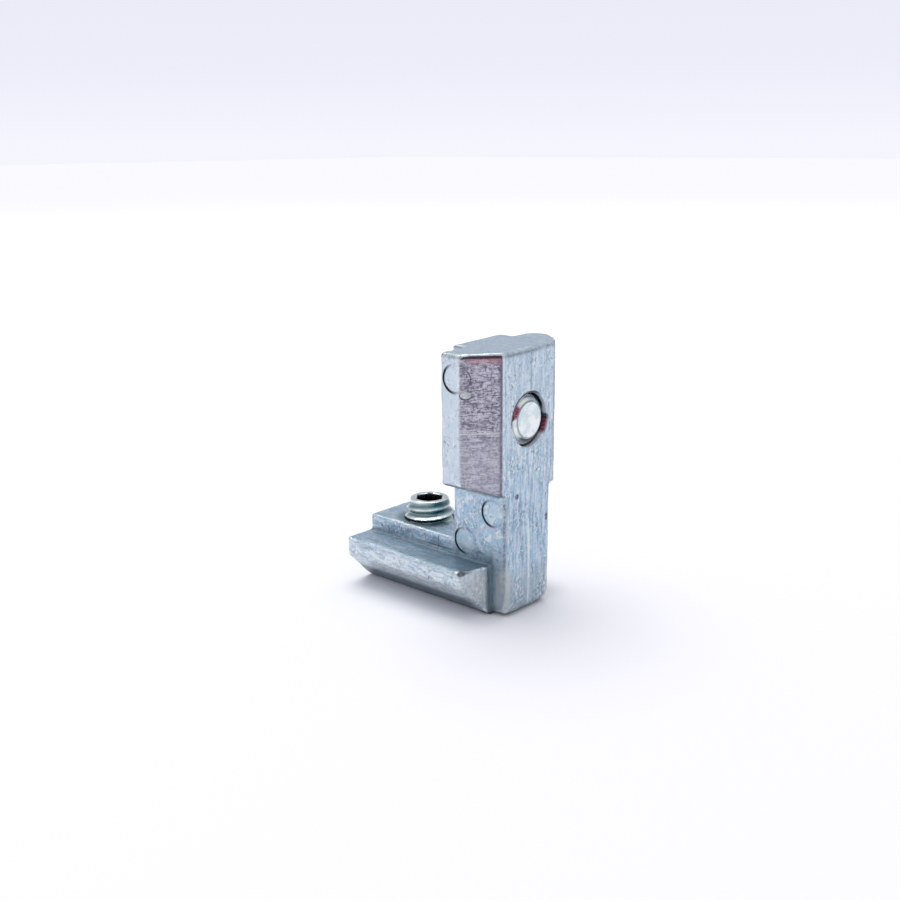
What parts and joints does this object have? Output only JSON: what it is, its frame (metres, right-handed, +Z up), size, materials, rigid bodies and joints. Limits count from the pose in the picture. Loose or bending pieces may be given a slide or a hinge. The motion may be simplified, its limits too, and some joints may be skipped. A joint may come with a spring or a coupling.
{
  "type": "inner corner connector",
  "caption": "Cast L-shaped connector that slides into the slots of two aluminium profiles at a right angle and is clamped there by a set screw in each arm.",
  "frame": {"origin": "on the underside, at the middle of the base arm's length and width", "axes": "+Z up along the upright arm, +X from the base arm's free end towards the outer face of the upright, Y across the flanges"},
  "size_m": [0.0216, 0.016, 0.03],
  "materials": {
    "zinc_casting": "as-cast zinc alloy, passivated blue-white, satin with a fine mottle",
    "plated_steel": "bright zinc-plated steel"
  },
  "bodies": {
    "connector": {"connector_body": "zinc_casting"},
    "base_screw": {"base_set_screw": "plated_steel"},
    "upright_screw": {"upright_set_screw": "plated_steel"}
  },
  "joints": [
    {"name": "base_screw_feed", "type": "slide", "parent": "connector", "child": "base_screw", "axis": [0, 0, -1], "range_m": [-0.003, 0.0032]},
    {"name": "upright_screw_feed", "type": "slide", "parent": "connector", "child": "upright_screw", "axis": [1, 0, 0], "range_m": [-0.0052, 0.0011]}
  ]
}
